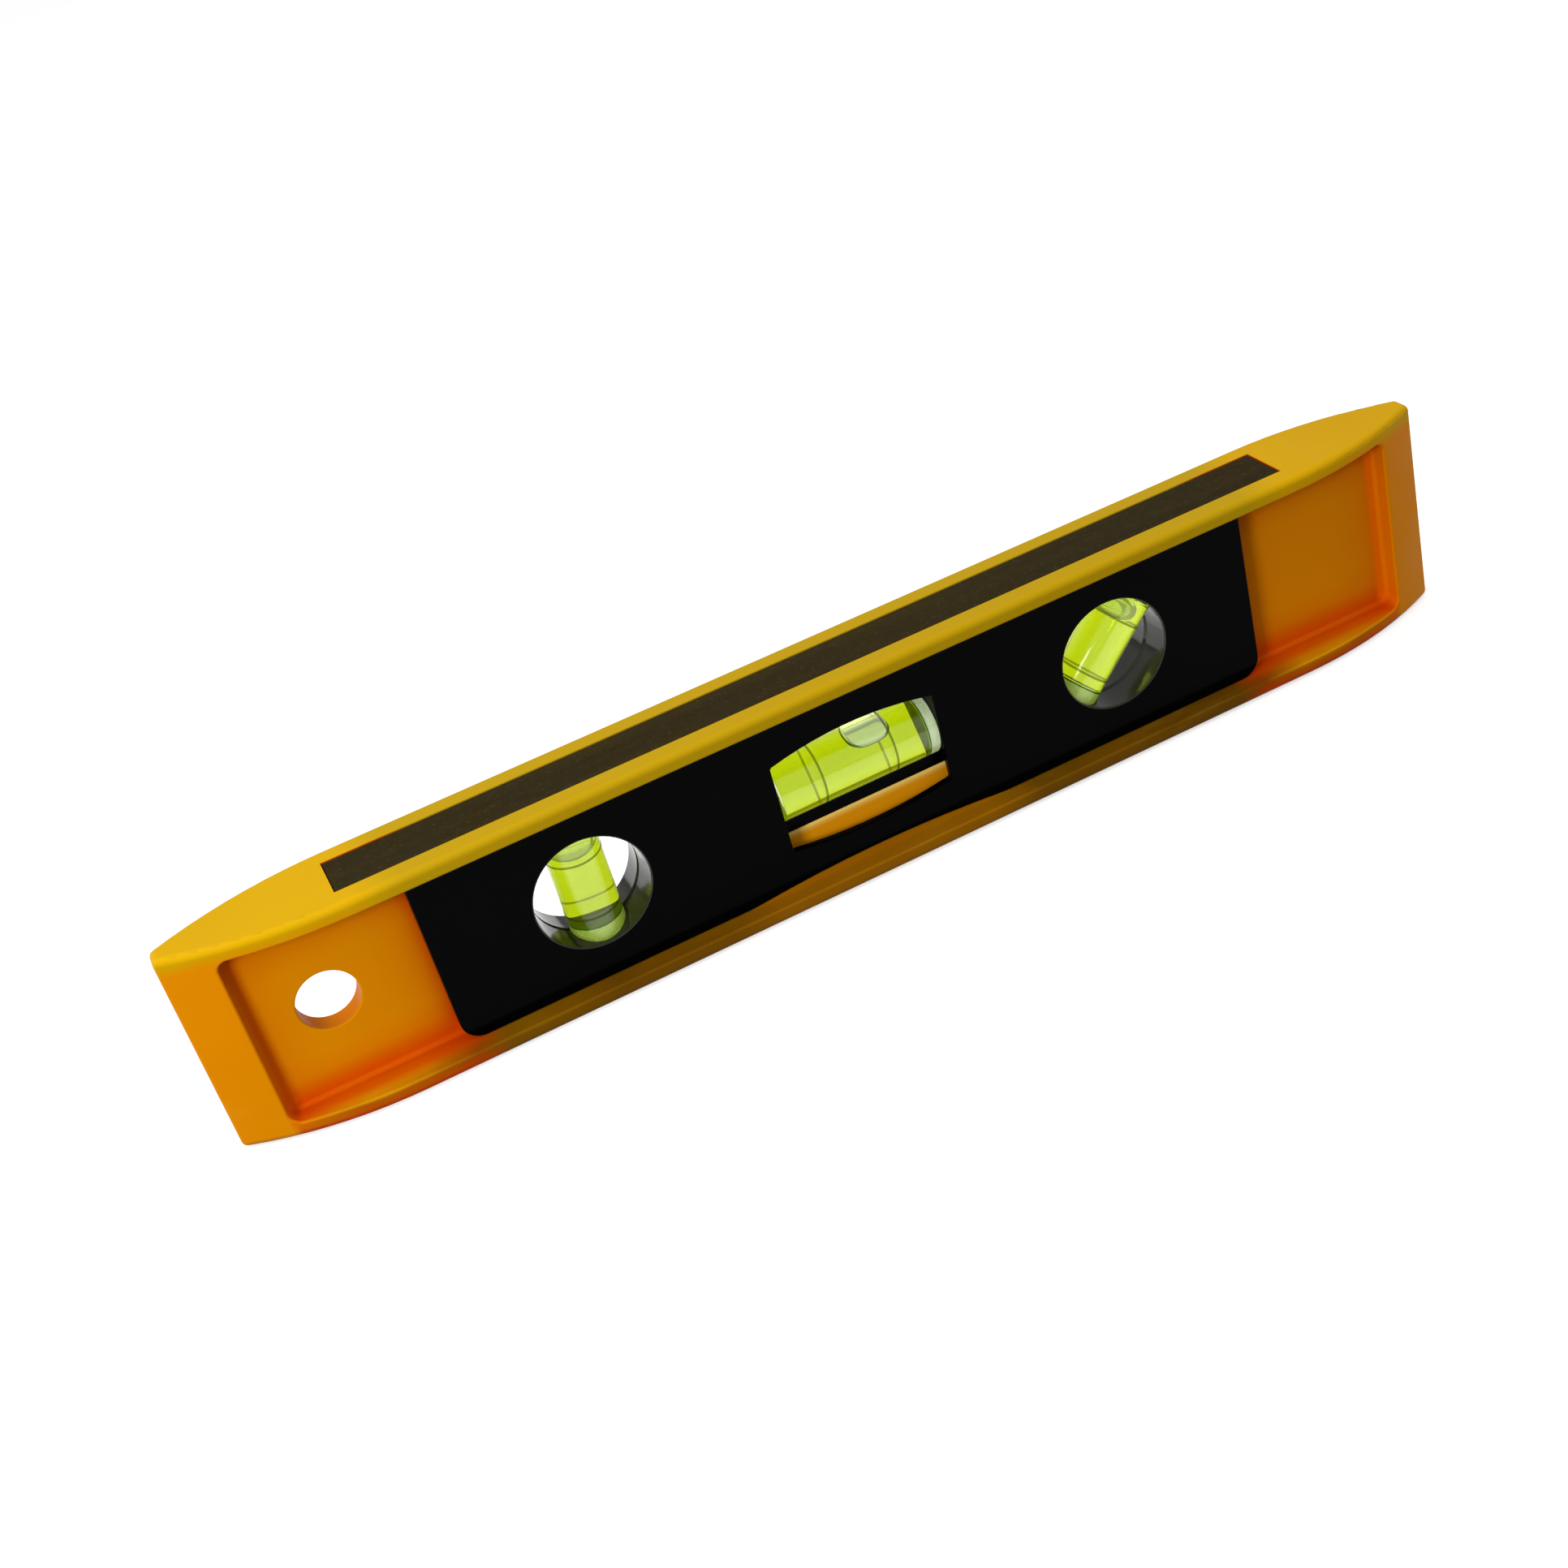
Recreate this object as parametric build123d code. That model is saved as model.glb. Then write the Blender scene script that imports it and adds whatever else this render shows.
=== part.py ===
from build123d import *
import os

# Nine inch torpedo spirit level, in millimetres.
# Origin: middle of the bottom face.  +X runs along the level, +Y to its rear face,
# +Z up to the face that carries the magnetic strip.

# Body
LENGTH = 230.0
WIDTH = 18.0
HEIGHT = 38.5
MID_Z = HEIGHT / 2
FLANGE = 2.8
WEB = 4.0
STRAIGHT_HALF = 85.0  # the flanges keep their full width up to here
NOSE_HALF = 1.75  # half width of the blunt nose
NOSE_EDGE_RADIUS = 0.8
OUTER_EDGE_RADIUS = 1.2
POST_INNER_X = 106.5  # inner wall of the solid end posts
POCKET_CORNER_RADIUS = 2.0
POCKET_FLOOR_RADIUS = 0.8
RIM_RADIUS = 0.4
HOLE_EDGE_RADIUS = 0.3
CUT_OUT_EDGE_RADIUS = 0.6
HANG_HOLE_X = -93.5
HANG_HOLE_RADIUS = 5.25

# Magnetic strip in the top flange
STRIP_LENGTH = 172.0
STRIP_WIDTH = 9.6
STRIP_THICKNESS = 1.5
ADHESIVE_THICKNESS = 0.12
GROOVE_DEPTH = 1.7
GROOVE_GAP = 0.15

# Cover panels, one on each side of the web
PANEL_HALF_LENGTH = 76.4
PANEL_FACE_Y = 5.7  # distance of the visible face from the middle plane
PANEL_SKIN = 1.3
PANEL_GAP = 0.1  # to the flanges
PANEL_LOW_RADIUS = 3.6
PANEL_TOP_RADIUS = 1.0
PANEL_RIM = 1.2
PANEL_RIM_END_Y = 3.0
PANEL_EDGE_RADIUS = 0.3
PAD_HALF_LENGTH = 25.0  # raised pad on the bottom flange, under the panels
PAD_RISE = 1.4
PEG_X = (-69.0, -28.5, 28.5, 69.0)
PEG_RADIUS = 1.5
PEG_BOSS_RADIUS = 3.0
PEG_LENGTH_PAST_WEB = 1.6

# Round windows and the collars that line them
ROUND_WINDOW_X = 49.0
ROUND_WINDOW_RADIUS = 10.0
COLLAR_DRAFT = 0.35  # the bore narrows by this much towards the middle plane
COLLAR_BEVEL = 0.5  # at the seam where the two collars meet
COLLAR_RADIUS = 12.8
COLLAR_END_Y = 0.03
COLLAR_HOLE_GAP = 0.3
WINDOW_EDGE_RADIUS = 0.25

# Arched window over the level vial
WINDOW_HALF_LENGTH = 15.05
WINDOW_TOP_CORNER_Z = 26.7
WINDOW_TOP_MIDDLE_Z = 28.6
WINDOW_LOW_CORNER_Z = 10.0
WINDOW_LOW_MIDDLE_Z = 8.7
WINDOW_CORNER_RADIUS = 0.5

# Frame that carries the level vial in the web
LEVEL_Z = 19.1
FRAME_HALF_LENGTH = 18.4
FRAME_RISE = 8.2  # from the vial's axis up to the top of the end blocks
FRAME_DROP = 7.6  # and down to the rail's edge
FRAME_GAP = 0.1
FRAME_END_Y = 4.35
FRAME_CORNER_RADIUS = 1.0

# Vials: each is a moulded cup with a barrel shaped bore, closed by a plug.
# Only the level vial's plug has a head, which stands out past the tube's end.
LEVEL_VIAL = dict(
    radius=5.5, half=14.95, bore_mid=4.3, bore_end=4.15, wall=0.6, plug=1.65, head=1.2
)
SHORT_VIAL = dict(
    radius=4.75, half=10.9, bore_mid=3.75, bore_end=3.65, wall=1.2, plug=3.2, head=0.0
)
HEAD_RADIUS = 4.3
FIT = 0.02
SEAT_GAP = 0.1
RING_WIDTH = 0.4
RING_THICKNESS = 0.06
LEVEL_RING_OFFSET = 6.7
SHORT_RING_OFFSET = 5.3

# Bubbles: half length, half width, half depth and where the centre lies in the vial
LEVEL_BUBBLE = dict(half=4.2, across=3.7, deep=2.3, along=3.9, lift=3.55)
PLUMB_BUBBLE = dict(half=2.5, across=3.3, deep=3.3, along=7.1, lift=0.0)
ANGLE_BUBBLE = dict(half=2.4, across=3.1, deep=2.9, along=7.2, lift=0.9)
BUBBLE_SKIN = 0.06

CUT = 30.0  # long enough to pass right through


def outline():
    """Plan of the level: straight sides that curve in to a blunt nose at each end."""
    side = WIDTH / 2
    half = LENGTH / 2
    front = Line((-STRAIGHT_HALF, -side), (STRAIGHT_HALF, -side))
    bow = TangentArc((STRAIGHT_HALF, -side), (half, -NOSE_HALF), tangent=(1, 0))
    nose = Line((half, -NOSE_HALF), (half, NOSE_HALF))
    quarter = [bow, mirror(bow, about=Plane.XZ)]
    right = quarter + [nose]
    left = [mirror(edge, about=Plane.YZ) for edge in right]
    rear = mirror(front, about=Plane.XZ)
    return make_face(Curve() + [front, rear] + right + left)


def slab_y(face, y_low, y_high):
    """Stand a face drawn in X and Z upright and thicken it between two distances."""
    upright = Plane.XZ * face
    return Pos(0, y_high, 0) * extrude(upright, y_high - y_low, dir=(0, -1, 0))


def rounded_block(x_half, y_low, y_high, z_low, z_high, corner):
    """Block whose four corner edges run along Y."""
    height = z_high - z_low
    face = Pos(0, (z_low + z_high) / 2) * RectangleRounded(2 * x_half, height, corner)
    return slab_y(face, y_low, y_high)


def arch(half_length, rise, z_base, y_low, y_high):
    """Low arched pad standing on z_base, flat below and bowed above."""
    left = (-half_length, z_base)
    right = (half_length, z_base)
    bow = ThreePointArc(left, (0, z_base + rise), right)
    return slab_y(make_face(Curve() + [bow, Line(right, left)]), y_low, y_high)


def bar_y(x, z, radius, y_low, y_high):
    """Cylinder along Y between two distances."""
    middle = Pos(x, (y_low + y_high) / 2, z)
    return middle * Rot(90, 0, 0) * Cylinder(radius, y_high - y_low)


def arched_window(y_low, y_high):
    """Cutter for the window over the level vial."""
    half = WINDOW_HALF_LENGTH
    low_left = (-half, WINDOW_LOW_CORNER_Z)
    low_right = (half, WINDOW_LOW_CORNER_Z)
    top_left = (-half, WINDOW_TOP_CORNER_Z)
    top_right = (half, WINDOW_TOP_CORNER_Z)
    low = ThreePointArc(low_left, (0, WINDOW_LOW_MIDDLE_Z), low_right)
    top = ThreePointArc(top_right, (0, WINDOW_TOP_MIDDLE_Z), top_left)
    sides = [Line(low_right, top_right), Line(top_left, low_left)]
    face = make_face(Curve() + [low, top] + sides)
    face = fillet(face.vertices(), WINDOW_CORNER_RADIUS)
    return slab_y(face, y_low, y_high)


def window_tunnel(x):
    """Cutter for a round window: drafted from the face inwards, bevelled at the middle plane."""
    throat = ROUND_WINDOW_RADIUS - COLLAR_DRAFT
    profile = Polyline(
        (0, -PANEL_FACE_Y - 1),
        (ROUND_WINDOW_RADIUS, -PANEL_FACE_Y - 1),
        (ROUND_WINDOW_RADIUS, -PANEL_FACE_Y),
        (throat, -COLLAR_END_Y - COLLAR_BEVEL),
        (throat + COLLAR_BEVEL + COLLAR_END_Y, 0),
        (0, 0),
        (0, -PANEL_FACE_Y - 1),
    )
    return Pos(x, 0, MID_Z) * revolve(make_face(profile), Axis.Y)


def vial_place(name):
    """Frame of a vial: local +X along the vial, local +Z to the side its bubble floats on."""
    places = {
        "level": Pos(0, 0, LEVEL_Z),
        "plumb": Pos(-ROUND_WINDOW_X, 0, MID_Z) * Rot(0, -90, 0),
        "angle": Pos(ROUND_WINDOW_X, 0, MID_Z) * Rot(0, -45, 0),
    }
    return places[name]


def bar_x(radius, x_low, x_high):
    """Cylinder along local X between two distances."""
    return Pos((x_low + x_high) / 2, 0, 0) * Rot(0, 90, 0) * Cylinder(radius, x_high - x_low)


def barrel(vial, x_low, x_high, inset):
    """Solid of revolution that fills a vial's bore: slightly fuller in its middle third."""
    third = (x_high - x_low) / 3
    mid_radius = vial["bore_mid"] - inset
    end_radius = vial["bore_end"] - inset
    profile = Polyline(
        (x_low, 0),
        (x_low, end_radius),
        (x_low + third, mid_radius),
        (x_high - third, mid_radius),
        (x_high, end_radius),
        (x_high, 0),
        (x_low, 0),
    )
    return revolve(make_face(profile), Axis.X)


def fluid_span(vial, short_at):
    """Ends of the liquid column; short_at is +1 or -1, the end that has the plug."""
    plug_end = short_at * (vial["half"] - vial["plug"])
    cup_end = -short_at * (vial["half"] - vial["wall"])
    return min(plug_end, cup_end), max(plug_end, cup_end)


def vial_tube(vial, plug_at):
    low, high = fluid_span(vial, plug_at)
    tube = bar_x(vial["radius"], -vial["half"], vial["half"])
    tube = fillet(tube.edges().filter_by(GeomType.CIRCLE), 0.35)
    tube -= barrel(vial, low, high, 0)
    mouth = sorted((plug_at * (vial["half"] - vial["plug"]), plug_at * (vial["half"] + 1)))
    return tube - bar_x(vial["bore_end"], *mouth)


def vial_plug(vial, plug_at):
    inner = plug_at * (vial["half"] - vial["plug"] + FIT)
    outer = plug_at * (vial["half"] - 0.1)
    plug = bar_x(vial["bore_end"] - FIT, *sorted((inner, outer)))
    if vial["head"]:
        root = plug_at * (vial["half"] + FIT)
        tip = plug_at * (vial["half"] + vial["head"])
        plug += bar_x(vial["bore_end"] - FIT, *sorted((outer, root)))
        plug += bar_x(HEAD_RADIUS, *sorted((root, tip)))
        plug = fillet(plug.edges().sort_by(Axis.X)[-1], 0.3)
    return plug


def bubble_ball(bubble, skin):
    """Ellipsoid of the bubble's size, larger by skin on every side."""
    sizes = (bubble["half"] + skin, bubble["across"] + skin, bubble["deep"] + skin)
    return Pos(bubble["along"], 0, bubble["lift"]) * scale(Sphere(1), by=sizes)


def bubble_shape(vial, bubble):
    """Air bubble, cut back where it lies against the wall of the bore."""
    radius = vial["bore_end"] - BUBBLE_SKIN
    return bubble_ball(bubble, 0) & bar_x(radius, -vial["half"], vial["half"])


def vial_fluid(vial, bubble, plug_at):
    low, high = fluid_span(vial, plug_at)
    column = barrel(vial, low + FIT, high - FIT, FIT)
    return column - bubble_ball(bubble, BUBBLE_SKIN)


def graduations(vial, offset):
    """Two printed rings around the tube, one on each side of the bubble's centred place."""
    inner = vial["radius"] + 0.01
    rings = []
    for middle in (-offset, offset):
        span = (middle - RING_WIDTH / 2, middle + RING_WIDTH / 2)
        rings.append(bar_x(inner + RING_THICKNESS, *span) - bar_x(inner, *span))
    return rings[0] + rings[1]


def web_edges(blank, x_low, x_high):
    """Edges of holes that lie on a face of the web between two places."""
    found = []
    for edge in blank.edges():
        box = edge.bounding_box()
        on_web = abs(abs(box.min.Y) - WEB / 2) < 0.01 and box.size.Y < 0.01
        if on_web and box.min.X > x_low and box.max.X < x_high:
            found.append(edge)
    return found


def rim_edges(blank, z_low, z_high):
    """Outer edges of the pockets, where they meet the body's outer skin."""
    found = []
    for edge in blank.edges():
        box = edge.bounding_box()
        inside = box.min.Z > z_low - 0.01 and box.max.Z < z_high + 0.01
        if inside and abs(edge.center().Y) > 5:
            found.append(edge)
    return found


def body():
    blank = extrude(outline(), HEIGHT)
    nose_edges = [
        edge
        for edge in blank.edges().filter_by(Axis.Z)
        if abs(edge.center().X) > LENGTH / 2 - 1
    ]
    blank = fillet(nose_edges, NOSE_EDGE_RADIUS)
    ends = blank.faces().filter_by(Axis.Z)
    blank = fillet(ends.edges(), OUTER_EDGE_RADIUS)

    z_low, z_high = FLANGE, HEIGHT - FLANGE
    for side in (-1, 1):
        y_low, y_high = sorted((side * WEB / 2, side * WIDTH))
        pocket = rounded_block(POST_INNER_X, y_low, y_high, z_low, z_high, POCKET_CORNER_RADIUS)
        floor = pocket.faces().filter_by(Axis.Y).sort_by(Axis.Y)[-1 if side < 0 else 0]
        blank -= fillet(floor.edges(), POCKET_FLOOR_RADIUS)
    blank = fillet(rim_edges(blank, z_low, z_high), RIM_RADIUS)

    for side in (-1, 1):
        y_low, y_high = sorted((side * WEB / 2, side * PANEL_FACE_Y))
        blank += arch(PAD_HALF_LENGTH, PAD_RISE, FLANGE, y_low, y_high)
        blank += Pos(0, (y_low + y_high) / 2, FLANGE) * Box(2 * PAD_HALF_LENGTH, y_high - y_low, 0.2)

    groove = Box(STRIP_LENGTH + 2 * GROOVE_GAP, STRIP_WIDTH + 2 * GROOVE_GAP, GROOVE_DEPTH)
    blank -= Pos(0, 0, HEIGHT - GROOVE_DEPTH / 2) * groove

    blank -= bar_y(HANG_HOLE_X, MID_Z, HANG_HOLE_RADIUS, -CUT, CUT)
    for x in (-ROUND_WINDOW_X, ROUND_WINDOW_X):
        blank -= bar_y(x, MID_Z, COLLAR_RADIUS + COLLAR_HOLE_GAP, -CUT / 5, CUT / 5)
    for x in PEG_X:
        blank -= bar_y(x, MID_Z, PEG_RADIUS + 0.2, -CUT / 5, CUT / 5)
    cut_half = FRAME_HALF_LENGTH + FRAME_GAP
    z_low = LEVEL_Z - FRAME_DROP - FRAME_GAP
    z_high = LEVEL_Z + FRAME_RISE + FRAME_GAP
    blank -= rounded_block(cut_half, -CUT / 5, CUT / 5, z_low, z_high, FRAME_CORNER_RADIUS)

    hole_reach = HANG_HOLE_RADIUS + 0.2
    cut_out = web_edges(blank, -cut_half - 0.2, cut_half + 0.2)
    blank = fillet(cut_out, CUT_OUT_EDGE_RADIUS)
    hole = web_edges(blank, HANG_HOLE_X - hole_reach, HANG_HOLE_X + hole_reach)
    return fillet(hole, HOLE_EDGE_RADIUS)


def magnet_strip():
    bottom = HEIGHT - GROOVE_DEPTH + ADHESIVE_THICKNESS + 0.01
    strip = Pos(0, 0, bottom + STRIP_THICKNESS / 2) * Box(STRIP_LENGTH, STRIP_WIDTH, STRIP_THICKNESS)
    return chamfer(strip.faces().sort_by(Axis.Z)[-1].edges(), 0.15)


def strip_adhesive():
    middle = HEIGHT - GROOVE_DEPTH + 0.005 + ADHESIVE_THICKNESS / 2
    return Pos(0, 0, middle) * Box(STRIP_LENGTH - 1.0, STRIP_WIDTH - 0.4, ADHESIVE_THICKNESS)


def panel_plate(grow, y_low, y_high):
    """Panel outline as a plate: low corners well rounded, top corners nearly square."""
    half = PANEL_HALF_LENGTH + grow
    z_low = FLANGE + PANEL_GAP - grow
    z_high = HEIGHT - FLANGE - PANEL_GAP + grow
    face = Pos(0, (z_low + z_high) / 2) * Rectangle(2 * half, z_high - z_low)
    corners = face.vertices().sort_by(Axis.Y)
    face = fillet(corners[:2], PANEL_LOW_RADIUS + grow)
    tops = [v for v in face.vertices() if v.Y > z_high - 0.01]
    face = fillet(tops, max(PANEL_TOP_RADIUS + grow, 0.3))
    return slab_y(face, y_low, y_high)


def window_edges(shell):
    """Edges of the windows on the visible face of a front panel."""
    found = []
    for edge in shell.edges():
        box = edge.bounding_box()
        on_face = abs(box.min.Y + PANEL_FACE_Y) < 0.01 and box.size.Y < 0.01
        low_enough = box.max.Z < WINDOW_TOP_MIDDLE_Z + 1.5
        if on_face and low_enough and box.min.Z > FLANGE + PAD_RISE + 1:
            found.append(edge)
    return found


def panel_shell():
    """Panel in its front position, before the fixing pegs or sockets are added."""
    face_y = -PANEL_FACE_Y
    skin_y = face_y + PANEL_SKIN
    plate = panel_plate(0, face_y, skin_y)
    plate = fillet(plate.faces().sort_by(Axis.Y)[0].edges(), PANEL_EDGE_RADIUS)
    rim = panel_plate(0, skin_y, -PANEL_RIM_END_Y)
    rim -= panel_plate(-PANEL_RIM, skin_y - 1, 0)
    shell = plate + rim
    for x in (-ROUND_WINDOW_X, ROUND_WINDOW_X):
        shell += bar_y(x, MID_Z, COLLAR_RADIUS, skin_y - 0.1, -COLLAR_END_Y)
    for x in (-ROUND_WINDOW_X, ROUND_WINDOW_X):
        shell -= window_tunnel(x)
    shell -= arch(PAD_HALF_LENGTH + 0.8, PAD_RISE + PANEL_GAP, FLANGE + 0.05, -CUT, CUT)
    shell -= arched_window(-CUT, CUT)
    shell = fillet(window_edges(shell), WINDOW_EDGE_RADIUS)
    for x in PEG_X:
        shell += bar_y(x, MID_Z, PEG_BOSS_RADIUS, skin_y - 0.1, -WEB / 2 - 0.02)
    for name in ("plumb", "angle"):
        reach = SHORT_VIAL["half"] + SEAT_GAP
        shell -= vial_place(name) * bar_x(SHORT_VIAL["radius"] + SEAT_GAP, -reach, reach)
    return shell


def front_panel():
    """Front cover; its four pegs pass through the web into the rear cover."""
    shell = panel_shell()
    for x in PEG_X:
        shell += bar_y(x, MID_Z, PEG_RADIUS, -WEB / 2 - 0.1, WEB / 2 + PEG_LENGTH_PAST_WEB)
    return shell


def rear_panel():
    """Rear cover; its four bosses are bored for the front cover's pegs."""
    shell = mirror(panel_shell(), about=Plane.XZ)
    for x in PEG_X:
        shell -= bar_y(x, MID_Z, PEG_RADIUS + FIT, 0, WEB / 2 + PEG_LENGTH_PAST_WEB + 0.2)
    return shell


def level_vial_frame():
    """Frame in the web: a slim rail cradles the vial from below, two end blocks hold it."""
    z_low = LEVEL_Z - FRAME_DROP
    z_high = LEVEL_Z + FRAME_RISE
    corner = FRAME_CORNER_RADIUS - FRAME_GAP
    frame = rounded_block(FRAME_HALF_LENGTH, -WEB / 2, WEB / 2, z_low, z_high, corner)
    seat = LEVEL_VIAL["half"] + SEAT_GAP
    block_x = (seat + FRAME_HALF_LENGTH - 0.4) / 2
    block_length = FRAME_HALF_LENGTH - 0.4 - seat
    for side in (-1, 1):
        block = Box(block_length, 2 * FRAME_END_Y, z_high - z_low - 2.0)
        block = fillet(block.edges().filter_by(Axis.Y), 0.5)
        frame += Pos(side * block_x, 0, (z_low + z_high) / 2) * block
    frame -= Pos(0, 0, LEVEL_Z) * bar_x(LEVEL_VIAL["radius"] + SEAT_GAP, -seat, seat)
    frame -= Pos(0, 0, LEVEL_Z + CUT / 2) * Box(2 * seat, CUT, CUT)
    head_seat = bar_x(HEAD_RADIUS + SEAT_GAP, 0, seat + LEVEL_VIAL["head"])
    return frame - Pos(0, 0, LEVEL_Z) * head_seat


# Each vial: its sizes, its bubble, its ring offset and the end that carries the plug
VIALS = {
    "level": (LEVEL_VIAL, LEVEL_BUBBLE, LEVEL_RING_OFFSET, 1),
    "plumb": (SHORT_VIAL, PLUMB_BUBBLE, SHORT_RING_OFFSET, -1),
    "angle": (SHORT_VIAL, ANGLE_BUBBLE, SHORT_RING_OFFSET, -1),
}


def main():
    parts = {
        "body": body(),
        "magnet_strip": magnet_strip(),
        "strip_adhesive": strip_adhesive(),
        "front_panel": front_panel(),
        "rear_panel": rear_panel(),
        "level_vial_frame": level_vial_frame(),
    }
    for name, (vial, bubble, ring_offset, plug_at) in VIALS.items():
        place = vial_place(name)
        parts[name + "_vial_tube"] = place * vial_tube(vial, plug_at)
        parts[name + "_vial_plug"] = place * vial_plug(vial, plug_at)
        parts[name + "_vial_fluid"] = place * vial_fluid(vial, bubble, plug_at)
        parts[name + "_bubble"] = place * bubble_shape(vial, bubble)
        parts[name + "_graduations"] = place * graduations(vial, ring_offset)
    os.makedirs("parts", exist_ok=True)
    for name, shape in parts.items():
        export_step(shape, "parts/" + name + ".step")
        print(name, [round(v, 2) for v in shape.bounding_box().size], round(shape.volume, 2))


main()
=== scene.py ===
import math

import bpy
from mathutils import Euler, Matrix, Vector


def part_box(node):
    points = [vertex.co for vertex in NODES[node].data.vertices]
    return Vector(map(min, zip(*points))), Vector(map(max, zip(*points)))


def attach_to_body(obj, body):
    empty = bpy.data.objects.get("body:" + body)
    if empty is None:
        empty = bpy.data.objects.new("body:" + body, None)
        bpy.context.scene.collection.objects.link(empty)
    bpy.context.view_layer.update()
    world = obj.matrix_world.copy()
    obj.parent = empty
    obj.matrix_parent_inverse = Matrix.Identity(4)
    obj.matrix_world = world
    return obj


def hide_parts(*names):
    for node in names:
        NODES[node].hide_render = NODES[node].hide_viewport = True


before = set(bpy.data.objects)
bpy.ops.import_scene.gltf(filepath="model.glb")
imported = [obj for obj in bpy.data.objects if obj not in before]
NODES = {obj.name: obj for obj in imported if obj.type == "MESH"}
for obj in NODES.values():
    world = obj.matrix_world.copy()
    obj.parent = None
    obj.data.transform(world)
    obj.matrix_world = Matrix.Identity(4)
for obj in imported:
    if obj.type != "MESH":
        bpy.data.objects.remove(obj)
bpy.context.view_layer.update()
ROOT = "level_body"
MM = 0.001
WINDOW_REACH = 10.25 * MM  # just past the radius of the round windows
WETTED = 0.04 * MM  # the liquid wets the bore and the plug fits it without a gap


# ---------------------------------------------------------------- materials


class Paint:
    """A node material with a Principled shader and short helpers for procedural detail."""

    def __init__(self, name):
        self.material = bpy.data.materials.new(name)
        self.material.use_nodes = True
        self.tree = self.material.node_tree
        self.shader = self.tree.nodes["Principled BSDF"]
        self.output = self.tree.nodes["Material Output"]
        coords = self.tree.nodes.new("ShaderNodeTexCoord")
        self.place = coords.outputs["Object"]
        self.normal = coords.outputs["Normal"]

    def set(self, **values):
        """Constant values on the Principled shader; underscores stand for spaces."""
        for key, value in values.items():
            self.shader.inputs[key.replace("_", " ")].default_value = value
        return self

    def node(self, kind, **settings):
        made = self.tree.nodes.new(kind)
        for key, value in settings.items():
            setattr(made, key, value)
        return made

    def link(self, source, target):
        self.tree.links.new(source, target)

    def stretched(self, scale):
        mapping = self.node("ShaderNodeMapping")
        mapping.inputs["Scale"].default_value = scale
        self.link(self.place, mapping.inputs["Vector"])
        return mapping.outputs["Vector"]

    def noise(self, scale, detail=3.0, stretch=None, rough=0.5):
        made = self.node("ShaderNodeTexNoise")
        made.inputs["Scale"].default_value = scale
        made.inputs["Detail"].default_value = detail
        made.inputs["Roughness"].default_value = rough
        self.link(self.stretched(stretch) if stretch else self.place, made.inputs["Vector"])
        return made.outputs["Fac"]

    def ramp(self, source, low, high, start=0.0, end=1.0):
        made = self.node("ShaderNodeMapRange")
        made.inputs["From Min"].default_value = low
        made.inputs["From Max"].default_value = high
        made.inputs["To Min"].default_value = start
        made.inputs["To Max"].default_value = end
        self.link(source, made.inputs["Value"])
        return made.outputs["Result"]

    def mix(self, factor, first, second):
        """Colour mix; first and second are colours or sockets."""
        made = self.node("ShaderNodeMix", data_type="RGBA")
        self.link(factor, made.inputs["Factor"])
        for index, value in ((6, first), (7, second)):
            if isinstance(value, tuple):
                made.inputs[index].default_value = (*value, 1.0)
            else:
                self.link(value, made.inputs[index])
        return made.outputs[2]

    def math(self, operation, first, second):
        made = self.node("ShaderNodeMath", operation=operation)
        for index, value in enumerate((first, second)):
            if isinstance(value, (int, float)):
                made.inputs[index].default_value = value
            else:
                self.link(value, made.inputs[index])
        return made.outputs[0]

    def product(self, first, *others):
        """Several masks multiplied together."""
        for other in others:
            first = self.math("MULTIPLY", first, other)
        return first

    def split(self, vector):
        """The X, Y and Z of a vector socket."""
        made = self.node("ShaderNodeSeparateXYZ")
        self.link(vector, made.inputs["Vector"])
        return made.outputs["X"], made.outputs["Y"], made.outputs["Z"]

    def away(self, coordinate, middle=0.0):
        """Distance of a coordinate from a middle, to either side."""
        return self.math("ABSOLUTE", self.math("SUBTRACT", coordinate, middle), 0)

    def colour(self, socket):
        self.link(socket, self.shader.inputs["Base Color"])

    def roughness(self, socket):
        self.link(socket, self.shader.inputs["Roughness"])

    def bump(self, height, strength, distance):
        made = self.node("ShaderNodeBump")
        made.inputs["Strength"].default_value = strength
        made.inputs["Distance"].default_value = distance
        self.link(height, made.inputs["Height"])
        self.link(made.outputs["Normal"], self.shader.inputs["Normal"])

    def corners(self, distance):
        """0 in tight inner corners, 1 on open faces."""
        made = self.node("ShaderNodeAmbientOcclusion", samples=8)
        made.inputs["Distance"].default_value = distance
        return made.outputs["AO"]


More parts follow.
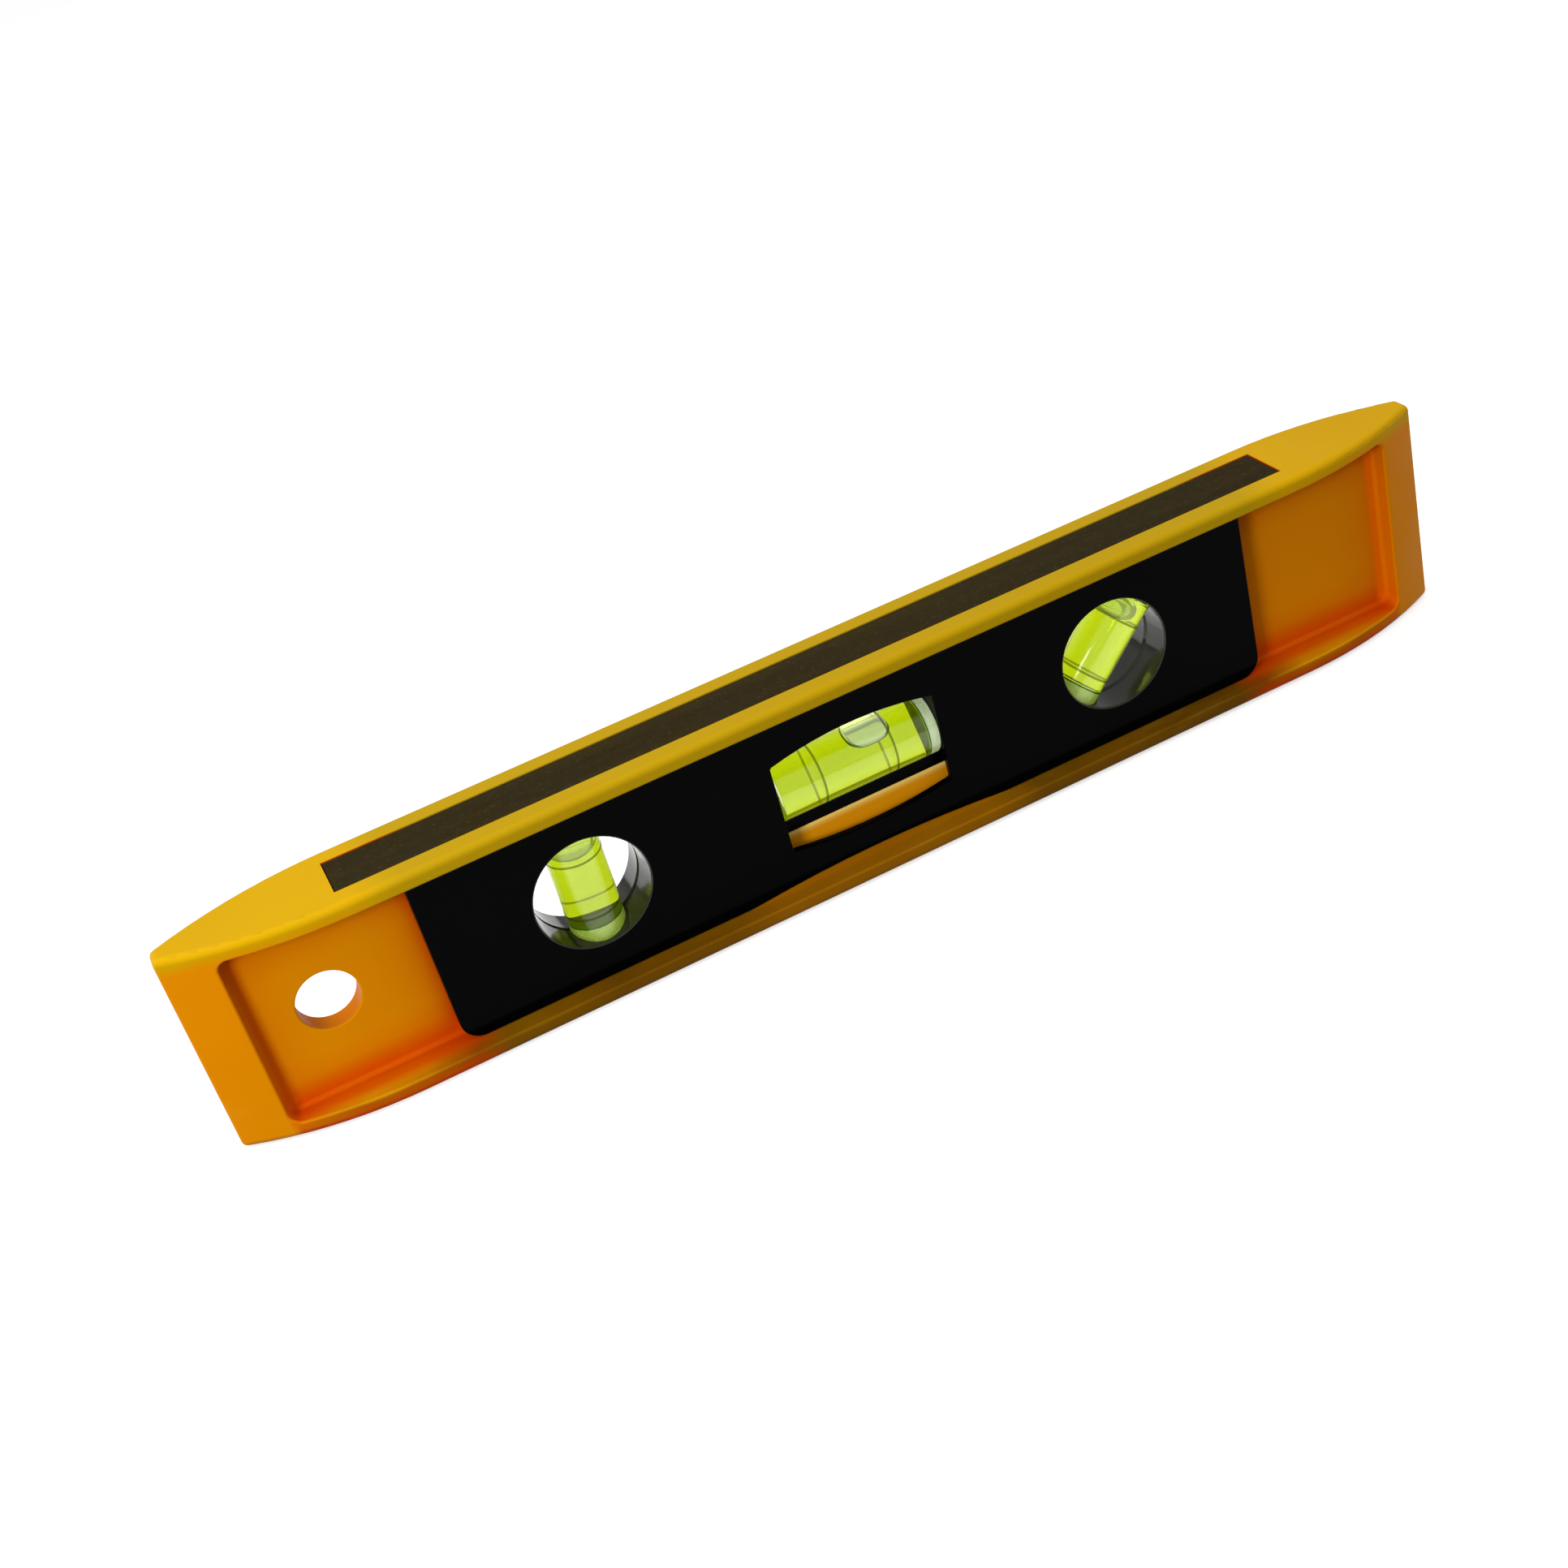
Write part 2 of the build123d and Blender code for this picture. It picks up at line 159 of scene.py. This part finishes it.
def body_plastic():
    """Yellow-orange moulded plastic.

    The flanges are clean yellow. The web and end posts between them are painted a deeper
    orange as painted shade, for the dimmer, warmer light that reaches them. The inner corners
    and folds of the grip pockets are painted red-orange as painted bounce light, as light
    bounces to and fro there, and the pockets' end walls are painted brighter as painted light.
    The front of the top flange beside the panels is painted darker as painted shade. The lower
    flange is painted browner than the upper one and darkest under the panels, less so in the
    middle, all painted shade. The sill below the level vial has a painted highlight along its
    crest.
    """
    p = Paint("body_plastic").set(IOR=1.5, Specular_IOR_Level=0.04)
    x, y, height = p.split(p.place)
    along, outward = p.away(x), p.away(y)
    from_middle = p.away(height, middle("body").z)
    wander = p.ramp(p.noise(38, 4), 0.3, 0.7, -0.9 * MM, 0.9 * MM)
    patch = p.ramp(p.noise(17, 3), 0.36, 0.66)

    yellow = p.mix(patch, (0.67, 0.385, 0.001), (0.63, 0.345, 0.001))
    # painted shade: the web and end posts are the flanges' plastic, painted a deeper orange for the
    # dimmer, warmer light on them
    orange = p.mix(patch, (0.80, 0.280, 0.0), (0.76, 0.240, 0.0))
    foot = p.product(
        p.ramp(along, 103 * MM, 106 * MM),
        p.ramp(height, 9 * MM, 7 * MM),
    )
    flange = p.product(
        p.ramp(p.math("ADD", from_middle, wander), 15.6 * MM, 17.8 * MM),
        p.math("SUBTRACT", 1.0, foot),
    )
    base = p.mix(flange, orange, yellow)

    olive, tan = (0.51, 0.315, 0.003), (0.36, 0.150, 0.002)
    dark_brown, pad_brown = (0.15, 0.060, 0.001), (0.30, 0.110, 0.001)
    beside_panels = p.ramp(p.math("ADD", along, wander), 84 * MM, 76 * MM)
    # painted shade: the top flange's front beside the panels is darkened to olive
    lip = p.product(beside_panels, p.ramp(height, 34 * MM, 35.5 * MM))
    base = p.mix(lip, base, olive)
    # painted shade: the lower flange's outer front is darkened to tan towards the bottom
    low_front = p.product(
        p.ramp(p.math("ADD", height, wander), 3.6 * MM, 2.4 * MM, 0.0, 0.9),
        p.ramp(outward, 5.5 * MM, 8.2 * MM),
    )
    base = p.mix(low_front, base, tan)
    # painted shade: the lower flange is darkened under the panels, less in the middle, with noise
    # varying its strength
    shade_mottle = p.ramp(p.noise(24, 3, stretch=(1, 0.2, 0.2)), 0.40, 0.60, 0.80, 1.0)
    under = p.product(beside_panels, p.ramp(height, 5.2 * MM, 4.4 * MM), shade_mottle)
    brown = p.mix(p.ramp(along, 30 * MM, 20 * MM), dark_brown, pad_brown)
    base = p.mix(under, base, brown)

    deep_red, fold_red, bright_orange = (0.62, 0.050, 0.0), (0.66, 0.070, 0.0), (0.95, 0.19, 0.0)
    in_pocket = p.product(
        p.ramp(along, 70 * MM, 76 * MM),
        p.ramp(along, 107 * MM, 105.5 * MM),
    )
    # painted bounce light and corner shade: the grip pockets' inner corners, found by ambient
    # occlusion, turn deep red
    glow = p.product(p.ramp(p.corners(9 * MM), 0.96, 0.40), in_pocket)
    base = p.mix(glow, base, deep_red)
    # painted bounce light: a red band where the pocket floor meets the web
    fold = p.product(
        in_pocket,
        p.ramp(height, 7.5 * MM, 3.8 * MM),
        p.ramp(height, 2.3 * MM, 2.9 * MM),
        p.ramp(outward, 7.0 * MM, 5.0 * MM, 0.0, 0.75),
    )
    base = p.mix(fold, base, fold_red)
    # painted light: the pockets' end walls are brightened to a light orange
    cheek = p.product(
        in_pocket,
        p.ramp(along, 104.0 * MM, 105.2 * MM, 0.0, 0.8),
        p.ramp(from_middle, 16.4 * MM, 15.0 * MM),
    )
    base = p.mix(cheek, base, bright_orange)

    warm_orange, crest_highlight, pale_scuff = (0.88, 0.33, 0.003), (1.0, 0.68, 0.15), (0.78, 0.50, 0.05)
    sill = p.product(p.ramp(along, 18 * MM, 16 * MM), p.ramp(outward, 4 * MM, 3 * MM))
    base = p.mix(sill, base, warm_orange)
    # painted highlight along the sill's top edge
    crest = p.product(sill, p.ramp(height, 10.0 * MM, 11.3 * MM))
    base = p.mix(crest, base, crest_highlight)
    scuff = p.ramp(p.noise(75, 6, stretch=(0.3, 1, 1), rough=0.7), 0.60, 0.78, 0.0, 0.10)
    p.colour(p.mix(scuff, base, pale_scuff))
    p.roughness(p.ramp(p.noise(170, 4), 0.3, 0.75, 0.32, 0.48))
    p.bump(p.noise(2400, 3), 0.22, 0.04 * MM)
    return p.material


def magnet_rubber():
    """Dark brown-grey rubber bonded magnet with faint lengthwise rolling marks and specks."""
    p = Paint("magnet_rubber").set(IOR=1.5, Specular_IOR_Level=0.04)
    rolled = p.ramp(p.noise(240, 4, stretch=(0.04, 1, 1)), 0.3, 0.7)
    base = p.mix(rolled, (0.023, 0.015, 0.0022), (0.037, 0.025, 0.004))
    cloud = p.ramp(p.noise(95, 3), 0.35, 0.65, 0.0, 0.5)
    base = p.mix(cloud, base, (0.025, 0.019, 0.008))
    speck = p.ramp(p.noise(1500, 2), 0.60, 0.72, 0.0, 0.35)
    p.colour(p.mix(speck, base, (0.068, 0.058, 0.036)))
    p.roughness(p.ramp(p.noise(500, 3), 0.3, 0.7, 0.50, 0.68))
    p.bump(p.noise(1800, 4), 0.35, 0.05 * MM)
    return p.material


def tape():
    """Off-white adhesive tape under the strip."""
    p = Paint("tape").set(IOR=1.45)
    p.colour(p.mix(p.noise(900, 3), (0.55, 0.53, 0.47), (0.66, 0.64, 0.58)))
    p.roughness(p.ramp(p.noise(700, 2), 0.3, 0.7, 0.5, 0.7))
    return p.material


def black_gloss(name, low, high):
    """Glossy black moulding with a faint orange-peel surface and hairline handling marks.

    low and high are the roughness between the marks and on them.
    """
    p = Paint(name).set(IOR=1.5, Specular_IOR_Level=0.02)
    black = p.mix(p.noise(45, 4), (0.0004, 0.0005, 0.0006), (0.0009, 0.0010, 0.0012))
    p.colour(black)
    marks = p.noise(420, 6, stretch=(0.12, 1, 1), rough=0.7)
    p.roughness(p.ramp(marks, 0.55, 0.8, low, high))
    p.bump(p.noise(700, 3), 0.18, 0.03 * MM)
    return p, black


def panel_black():
    """The panels' black, with a better polish in the bores of the round windows, where an olive
    grey is painted in as painted reflection of the vials.
    """
    p, black = black_gloss("panel_gloss", 0.14, 0.34)
    p.set(Coat_Roughness=0.10)
    window = middle("angle_vial_tube")
    x, _, z = p.split(p.place)
    aside = p.math("SUBTRACT", p.away(x), window.x)
    above = p.math("SUBTRACT", z, window.z)
    squares = p.math("ADD", p.product(aside, aside), p.product(above, above))
    rim = WINDOW_REACH**2
    bore = p.ramp(squares, rim, 0.97 * rim)
    p.link(p.product(bore, 0.8), p.shader.inputs["Coat Weight"])
    # painted reflection: an olive grey in the window bores stands in for the vials' light reflected
    # there
    p.colour(p.mix(bore, black, (0.020, 0.023, 0.012)))
    return p.material


def clear_acrylic():
    """Clear moulded acrylic of the vial tubes."""
    p = Paint("clear_acrylic").set(
        IOR=1.45, Specular_IOR_Level=0.22, Transmission_Weight=1.0
    )
    p.colour(p.mix(p.noise(90, 2), (0.95, 0.98, 0.90), (0.98, 1.0, 0.94)))
    p.roughness(p.ramp(p.noise(300, 3), 0.4, 0.8, 0.0, 0.02))
    return p.material


def pale_plug(name, dull, bright, glow):
    """Milky plug that closes a vial; a faint emission paints in the light that enters it and glows
    through.
    """
    p = Paint(name).set(IOR=1.47, Transmission_Weight=0.30)
    # painted light: the plug glows faintly
    p.set(Emission_Strength=0.20, Emission_Color=(*glow, 1))
    p.colour(p.mix(p.noise(500, 3), dull, bright))
    p.roughness(p.ramp(p.noise(420, 2), 0.3, 0.7, 0.15, 0.35))
    return p.material


def dark_seal():
    """Thin dark green sheet of painted shade where the liquid meets a plug, and round a bubble's
    edge.
    """
    p = Paint("dark_seal").set(IOR=1.40, Specular_IOR_Level=0.0)
    p.colour(p.mix(p.noise(400, 2), (0.012, 0.150, 0.0), (0.020, 0.190, 0.001)))
    p.roughness(p.ramp(p.noise(420, 2), 0.3, 0.7, 0.4, 0.6))
    return p.material


def dyed_liquid():
    """Fluorescent yellow-green vial liquid: the dye soaks up blue, and a faint emission paints in a
    glow.
    """
    p = Paint("dyed_liquid").set(
        IOR=1.34, Specular_IOR_Level=0.15, Transmission_Weight=1.0
    )
    # painted light: a faint emission brightens the liquid
    p.set(Emission_Strength=0.07, Emission_Color=(0.76, 0.90, 0.0, 1))
    p.colour(p.mix(p.noise(120, 2), (0.82, 0.89, 0.48), (0.88, 0.95, 0.56)))
    p.roughness(p.ramp(p.noise(200, 2), 0.3, 0.7, 0.0, 0.02))
    dye = p.node("ShaderNodeVolumeAbsorption")
    dye.inputs["Color"].default_value = (0.865, 0.895, 0.02, 1)
    dye.inputs["Density"].default_value = 620.0
    p.link(dye.outputs["Volume"], p.output.inputs["Volume"])
    return p.material


def air(name, wall, clear, strength, glow):
    """A bubble: its pale middle and its faint emission are painted light, and its wall,
    where it turns under, is painted dark green as painted shade.

    The wall is where the surface faces less upwards than the given range of normal height.
    """
    p = Paint(name).set(IOR=0.76, Transmission_Weight=clear)
    # painted light: the bubble glows faintly
    p.set(Emission_Strength=strength, Emission_Color=(*glow, 1))
    _, _, upward = p.split(p.normal)
    # painted shade on the bubble's wall, where it faces less upwards
    wall_shade = (0.010, 0.060, 0.0)
    pale = p.mix(p.noise(260, 2), (0.84, 0.90, 0.88), (0.94, 0.98, 0.95))
    p.colour(p.mix(p.ramp(upward, *wall), wall_shade, pale))
    p.roughness(p.ramp(p.noise(200, 2), 0.3, 0.7, 0.0, 0.03))
    return p.material


def print_ink():
    """Thin dark print that lets some of the liquid's colour through."""
    p = Paint("print_ink").set(IOR=1.45, Alpha=0.4)
    p.colour(p.mix(p.noise(900, 2), (0.020, 0.034, 0.004), (0.035, 0.055, 0.008)))
    p.roughness(p.ramp(p.noise(900, 2), 0.3, 0.7, 0.35, 0.55))
    return p.material


def floor_paint():
    """Pale matt floor with a little light of its own, so that it stays even."""
    p = Paint("floor_paint").set(Specular_IOR_Level=0.05)
    p.set(Emission_Strength=0.5, Emission_Color=(1, 1, 1, 1))
    p.colour(p.mix(p.noise(3, 3), (0.80, 0.80, 0.80), (0.82, 0.82, 0.82)))
    p.roughness(p.ramp(p.noise(6, 2), 0.3, 0.7, 0.7, 0.85))
    return p.material


def dress(node, material):
    """Put a material in place of a CAD node's plain one."""
    obj = NODES[node]
    obj.data.materials.clear()
    obj.data.materials.append(material)


# ---------------------------------------------------------------- vials


def arc(centre, radius, start, end, steps):
    """Points on an arc in (along, out) coordinates; angles in degrees."""
    found = []
    for step in range(steps + 1):
        angle = math.radians(start + (end - start) * step / steps)
        found.append((centre[0] + radius * math.cos(angle), centre[1] + radius * math.sin(angle)))
    return found


def skin(rows, segments):
    """Faces of a closed round solid: rows of points between its two end points."""
    faces = []
    end = 1 + (rows - 1) * segments
    last = end + segments
    for k in range(segments):
        after = (k + 1) % segments
        faces.append((0, 1 + after, 1 + k))
        for row in range(rows - 1):
            a, b = 1 + row * segments, 1 + (row + 1) * segments
            faces.append((a + k, a + after, b + after, b + k))
        faces.append((end + k, end + after, last))
    return faces


def lathe(name, profile, place, segments=96):
    """Closed solid of revolution about local X; the profile starts and ends on the axis."""
    rows = profile[1:-1]
    verts = [(profile[0][0], 0, 0)]
    for along, out in rows:
        for k in range(segments):
            angle = 2 * math.pi * k / segments
            verts.append((along, out * math.cos(angle), out * math.sin(angle)))
    verts.append((profile[-1][0], 0, 0))
    return piece(name, verts, skin(len(rows), segments), place)


def piece(name, verts, faces, place):
    """Smooth mesh object; its points are given in a vial's local frame."""
    mesh = bpy.data.meshes.new(name)
    mesh.from_pydata([place @ Vector(v) for v in verts], [], faces)
    mesh.update()
    obj = bpy.data.objects.new(name, mesh)
    bpy.context.scene.collection.objects.link(obj)
    mesh.shade_smooth()
    return obj


def liquid_column(name, low, high, radius, place):
    """Liquid that fills a bore, with softly rounded ends."""
    soft = 0.35 * MM
    start = arc((low + soft, radius - soft), soft, 180, 90, 6)
    finish = arc((high - soft, radius - soft), soft, 90, 0, 6)
    return lathe(name, [(low, 0)] + start + finish + [(high, 0)], place)


def outline(turn, half, across):
    """Point on a bubble's blunt oval outline, seen from above; turn runs from its low end."""
    along = -math.copysign(abs(math.cos(turn)) ** 0.85, math.cos(turn)) * half
    aside = math.copysign(abs(math.sin(turn)) ** 0.75, math.sin(turn)) * across
    return along, aside


def bubble_mesh(name, half, across, above, below, centre, bore, place):
    """Air bubble: longer than wide, its top pressed against the bore.

    above and below are its depths over and under the centre, which is (along, up).
    """
    rings, segments = 40, 64
    verts = [(centre[0] - half, 0, centre[1])]
    for ring in range(1, rings):
        along, size = outline(math.pi * ring / rings, half, 1.0)
        for k in range(segments):
            angle = 2 * math.pi * k / segments
            up = math.sin(angle)
            deep = above if up > 0 else below
            y = across * size * math.cos(angle)
            z = centre[1] + deep * size * up
            squeeze = min(1.0, bore / math.hypot(y, z))
            verts.append((centre[0] + along, y * squeeze, z * squeeze))
    verts.append((centre[0] + half, 0, centre[1]))
    return piece(name, verts, skin(rings - 1, segments), place)


def edge_shade_ring(name, half, across, centre, bore, place):
    """Closed dark green ring round a bubble's edge: painted shade for its outline."""
    steps, sides, thick = 120, 10, 0.22 * MM
    path = []
    for step in range(steps):
        along, y = outline(2 * math.pi * step / steps, half, across)
        squeeze = min(1.0, (bore - thick) / math.hypot(y, centre[1]))
        path.append(Vector((centre[0] + along, y * squeeze, centre[1] * squeeze)))
    verts, faces = [], []
    for step, point in enumerate(path):
        after = (step + 1) % steps
        ahead = (path[after] - path[step - 1]).normalized()
        out = ahead.cross(Vector((0, 0, 1))).normalized()
        up = out.cross(ahead)
        row, next_row = step * sides, after * sides
        for k in range(sides):
            angle = 2 * math.pi * k / sides
            verts.append(point + thick * (math.cos(angle) * out + math.sin(angle) * up))
            k_after = (k + 1) % sides
            faces.append((row + k, row + k_after, next_row + k_after, next_row + k))
    return piece(name, verts, faces, place)


def middle(node):
    """Centre of a CAD node's box."""
    low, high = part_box(node)
    return (low + high) / 2


def vial_places():
    """Local frame of each vial: +X along it, +Z to the side the bubble floats on."""
    level = Matrix.Translation(middle("level_vial_tube"))
    upright = Matrix.Rotation(-math.pi / 2, 4, "Y")
    slanted = Matrix.Rotation(-math.pi / 4, 4, "Y")
    return {
        "level": level,
        "plumb": Matrix.Translation(middle("plumb_vial_tube")) @ upright,
        "angle": Matrix.Translation(middle("angle_vial_tube")) @ slanted,
    }


def stopper(name, low, high, neck, place, head_from=0.0, head=0.0):
    """Plug in a vial's end: a neck in the bore, and a round-edged head when it has one."""
    chamfer, soft = 0.1 * MM, 0.3 * MM
    profile = [(low, 0)] + arc((low + chamfer, neck - chamfer), chamfer, 180, 90, 3)
    if head:
        profile += [(head_from, neck), (head_from, head)]
    outer = head or neck
    profile += arc((high - soft, outer - soft), soft, 90, 0, 5) + [(high, 0)]
    return lathe(name, profile, place)


def shade_disc(name, at, bore, shade_paint, place):
    """Thin dark disc of painted shade between the liquid and the plug."""
    thin, rim = 0.12 * MM, bore - 0.05 * MM
    profile = [(at - thin, 0), (at - thin, rim), (at + thin, rim), (at + thin, 0)]
    attach(lathe(name, profile, place), shade_paint, ROOT)


def attach(obj, material, body):
    obj.data.materials.append(material)
    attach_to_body(obj, body)


def adopt(obj, material, body, node):
    """Attach a piece that stands for a CAD node."""
    attach(obj, material, body)
    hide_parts(node)


def level_vial(liquid, plug, shade_paint, place):
    """Level vial: the liquid and the plug lie along X, and the bubble floats at the top."""
    _, tube_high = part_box("level_vial_tube")
    mid = middle("level_vial_tube").x
    low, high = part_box("level_vial_fluid")
    bore = (high.y - low.y) / 2 + WETTED
    made = liquid_column("level_liquid", low.x - mid, high.x - mid, bore, place)
    adopt(made, liquid, ROOT, "level_vial_fluid")

    plug_low, plug_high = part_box("level_vial_plug")
    made = stopper(
        "level_stopper",
        high.x - mid + 0.01 * MM,
        plug_high.x - mid,
        bore - 0.15 * MM,
        place,
        head_from=tube_high.x - mid + 0.02 * MM,
        head=(plug_high.y - plug_low.y) / 2,
    )
    adopt(made, plug, ROOT, "level_vial_plug")
    # a dark disc of painted shade where the liquid meets the plug
    shade_disc("level_seal", high.x - mid, bore, shade_paint, place)

    air_low, air_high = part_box("level_bubble")
    half = (air_high.x - air_low.x) / 2 - 0.45 * MM
    across, above, below = 3.55 * MM, 2.6 * MM, 1.0 * MM
    centre = (middle("level_bubble").x - mid, 2.75 * MM)
    inside = bore - 0.30 * MM
    made = bubble_mesh("level_air", half, across, above, below, centre, inside, place)
    bubble = air("level_air", (0.10, 0.45), 0.5, 0.34, (0.56, 0.62, 1.0))
    adopt(made, bubble, "level_bubble_body", "level_bubble")
    # a dark ring of painted shade round the bubble's edge
    made = edge_shade_ring("level_edge_shade_ring", half, across, centre, inside, place)
    attach(made, shade_paint, "level_bubble_body")


def short_vials(liquid, plug, shade_paint, places):
    """Plumb and angle vials: one shape, measured on the upright one, at two slants."""
    tube_low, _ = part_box("plumb_vial_tube")
    mid = middle("plumb_vial_tube").z
    low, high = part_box("plumb_vial_fluid")
    start, finish = low.z - mid, high.z - mid
    bore = (high.y - low.y) / 2 + WETTED
    air_low, air_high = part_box("plumb_bubble")
    half = (air_high.z - air_low.z) / 2 - 0.35 * MM
    size = 3.2 * MM
    bubble = air("short_air", (-0.9, -0.5), 0.8, 0.12, (0.70, 0.88, 0.40))
    for name, lift in (("plumb", 0.0), ("angle", 0.7 * MM)):
        place = places[name]
        made = liquid_column(name + "_liquid", start, finish, bore, place)
        adopt(made, liquid, ROOT, name + "_vial_fluid")
        plug_start, plug_finish = tube_low.z - mid + 0.1 * MM, start - 0.01 * MM
        made = stopper(name + "_stopper", plug_start, plug_finish, bore - 0.1 * MM, place)
        adopt(made, plug, ROOT, name + "_vial_plug")
        # a dark disc of painted shade at the liquid's end by the plug
        shade_disc(name + "_seal", start, bore, shade_paint, place)
        centre = (middle("plumb_bubble").z - mid, lift)
        inside = bore - 0.15 * MM
        made = bubble_mesh(name + "_air", half, size, size, size, centre, inside, place)
        adopt(made, bubble, name + "_bubble_body", name + "_bubble")


# ---------------------------------------------------------------- studio


def studio():
    """Pale floor, even sky, a soft key lamp and two small lamps that fill the pockets."""
    scene = bpy.context.scene
    mesh = bpy.data.meshes.new("floor")
    size = 9.0
    corners = [(-size, -size, 0), (size, -size, 0), (size, size, 0), (-size, size, 0)]
    mesh.from_pydata(corners, [], [(0, 1, 2, 3)])
    floor = bpy.data.objects.new("floor", mesh)
    floor.location.z = -0.2 * MM
    scene.collection.objects.link(floor)
    mesh.materials.append(floor_paint())
    floor.visible_diffuse = False

    scene.world = sky()
    lamp("key", (-0.40, 0.10, 0.85), (0, 0, 0.02), 0.6, 3.7)
    fill = lamp("fill", (-0.32, -0.30, 0.20), (-0.02, 0, 0.02), 0.12, 1.15)
    fill.visible_glossy = False
    side = lamp("side", (0.50, -0.05, 0.14), (0, 0, 0.02), 0.25, 0.45)
    side.visible_glossy = False

    scene.view_settings.view_transform = "Standard"
    scene.view_settings.look = "None"


def sky():
    """Even pale light from above, dim warm light from below."""
    world = bpy.data.worlds.new("studio_world")
    world.use_nodes = True
    tree = world.node_tree
    coords = tree.nodes.new("ShaderNodeTexCoord")
    split = tree.nodes.new("ShaderNodeSeparateXYZ")
    ramp = tree.nodes.new("ShaderNodeValToRGB")
    tree.links.new(coords.outputs["Generated"], split.inputs["Vector"])
    lift = tree.nodes.new("ShaderNodeMapRange")
    lift.inputs["From Min"].default_value = -1.0
    tree.links.new(split.outputs["Z"], lift.inputs["Value"])
    tree.links.new(lift.outputs["Result"], ramp.inputs["Fac"])
    ramp.color_ramp.elements[0].position = 0.46
    ramp.color_ramp.elements[0].color = (0.05, 0.035, 0.02, 1)
    ramp.color_ramp.elements[1].position = 0.60
    ramp.color_ramp.elements[1].color = (1, 1, 1, 1)
    background = tree.nodes["Background"]
    background.inputs["Strength"].default_value = 0.55
    tree.links.new(ramp.outputs["Color"], background.inputs["Color"])
    return world


def lamp(name, place, target, size, power):
    """Square area lamp that faces the target."""
    data = bpy.data.lights.new(name, "AREA")
    data.shape = "SQUARE"
    data.size = size
    data.energy = power
    obj = bpy.data.objects.new(name, data)
    obj.location = place
    aim = Vector(target) - Vector(place)
    obj.rotation_euler = aim.to_track_quat("-Z", "Y").to_euler()
    bpy.context.scene.collection.objects.link(obj)
    return obj


def camera():
    """Three-quarter view from the left, above, with the body tilted across the frame."""
    data = bpy.data.cameras.new("camera")
    data.sensor_width = 36.0
    data.lens = 49.70
    data.clip_start = 0.01
    obj = bpy.data.objects.new("camera", data)
    obj.location = (-0.09282, -0.29491, 0.20894)
    turn = (57.1461, 13.8084, -24.0986)
    obj.rotation_euler = Euler([math.radians(a) for a in turn], "XYZ")
    bpy.context.scene.collection.objects.link(obj)
    bpy.context.scene.camera = obj


# ---------------------------------------------------------------- build

dress("body", body_plastic())
dress("magnet_strip", magnet_rubber())
dress("strip_adhesive", tape())
panel = panel_black()
dress("front_panel", panel)
dress("rear_panel", panel)
rail, _ = black_gloss("frame_gloss", 0.18, 0.4)
dress("level_vial_frame", rail.material)
tube, ink = clear_acrylic(), print_ink()
for vial in ("level", "plumb", "angle"):
    dress(vial + "_vial_tube", tube)
    dress(vial + "_graduations", ink)
liquid, shade_paint = dyed_liquid(), dark_seal()
places = vial_places()
level_plug = pale_plug("level_plug", (0.66, 0.78, 0.48), (0.80, 0.90, 0.66), (0.62, 0.72, 0.46))
short_plug = pale_plug("short_plug", (0.48, 0.64, 0.10), (0.62, 0.78, 0.20), (0.42, 0.58, 0.06))
level_vial(liquid, level_plug, shade_paint, places["level"])
short_vials(liquid, short_plug, shade_paint, places)
studio()
camera()
